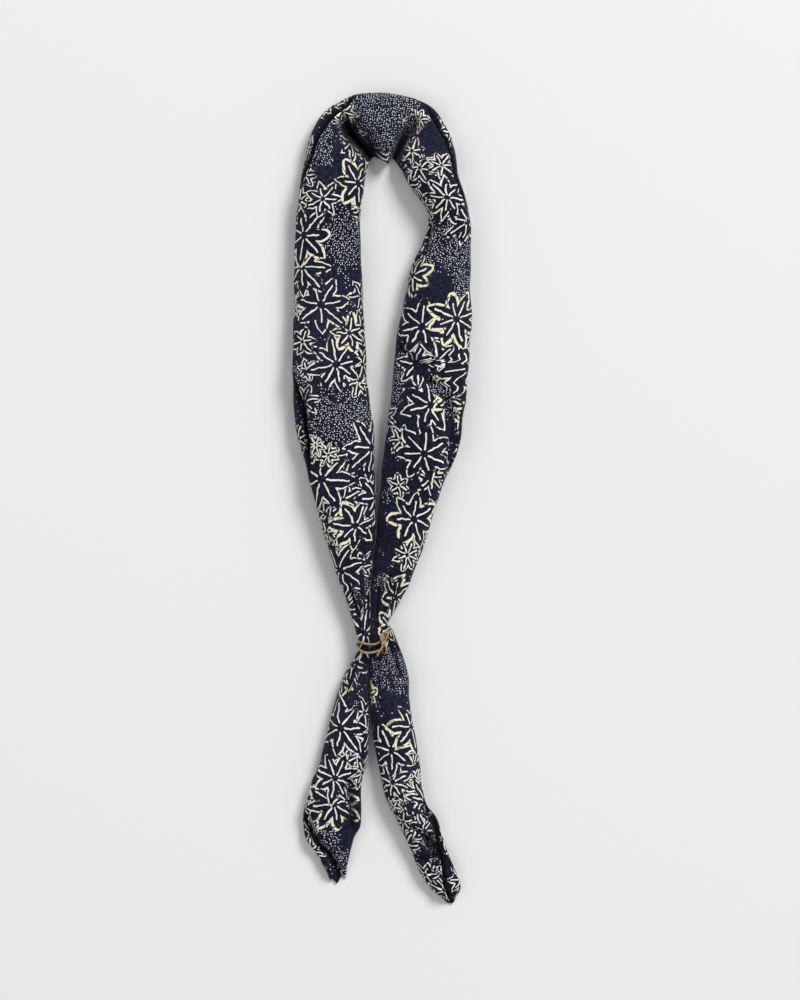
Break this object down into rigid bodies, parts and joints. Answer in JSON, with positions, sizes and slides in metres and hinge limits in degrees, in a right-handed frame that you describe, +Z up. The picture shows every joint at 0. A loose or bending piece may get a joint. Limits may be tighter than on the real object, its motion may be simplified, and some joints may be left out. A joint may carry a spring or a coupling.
{
  "type": "bandana",
  "caption": "Square cotton bandana folded on its bias into a soft neck band, lying flat as a closed loop with two tails, held by a thin knotted cord tie.",
  "frame": {"origin": "centre of the bounding box in plan, on the surface that the folded cloth lies on", "axes": "+Z up from the surface, +Y towards the closed end of the neck loop and away from the tails, +X to the right seen from above"},
  "size_m": [0.0869, 0.3972, 0.0178],
  "materials": {
    "printed_cotton": "matt plain-weave cotton, deep indigo, printed with cream outline leaves and fine white dots",
    "tie_cord": "thin twisted cord, golden brown, slightly waxed"
  },
  "bodies": {
    "root": {"bandana": "printed_cotton", "tie": "tie_cord"}
  },
  "joints": []
}
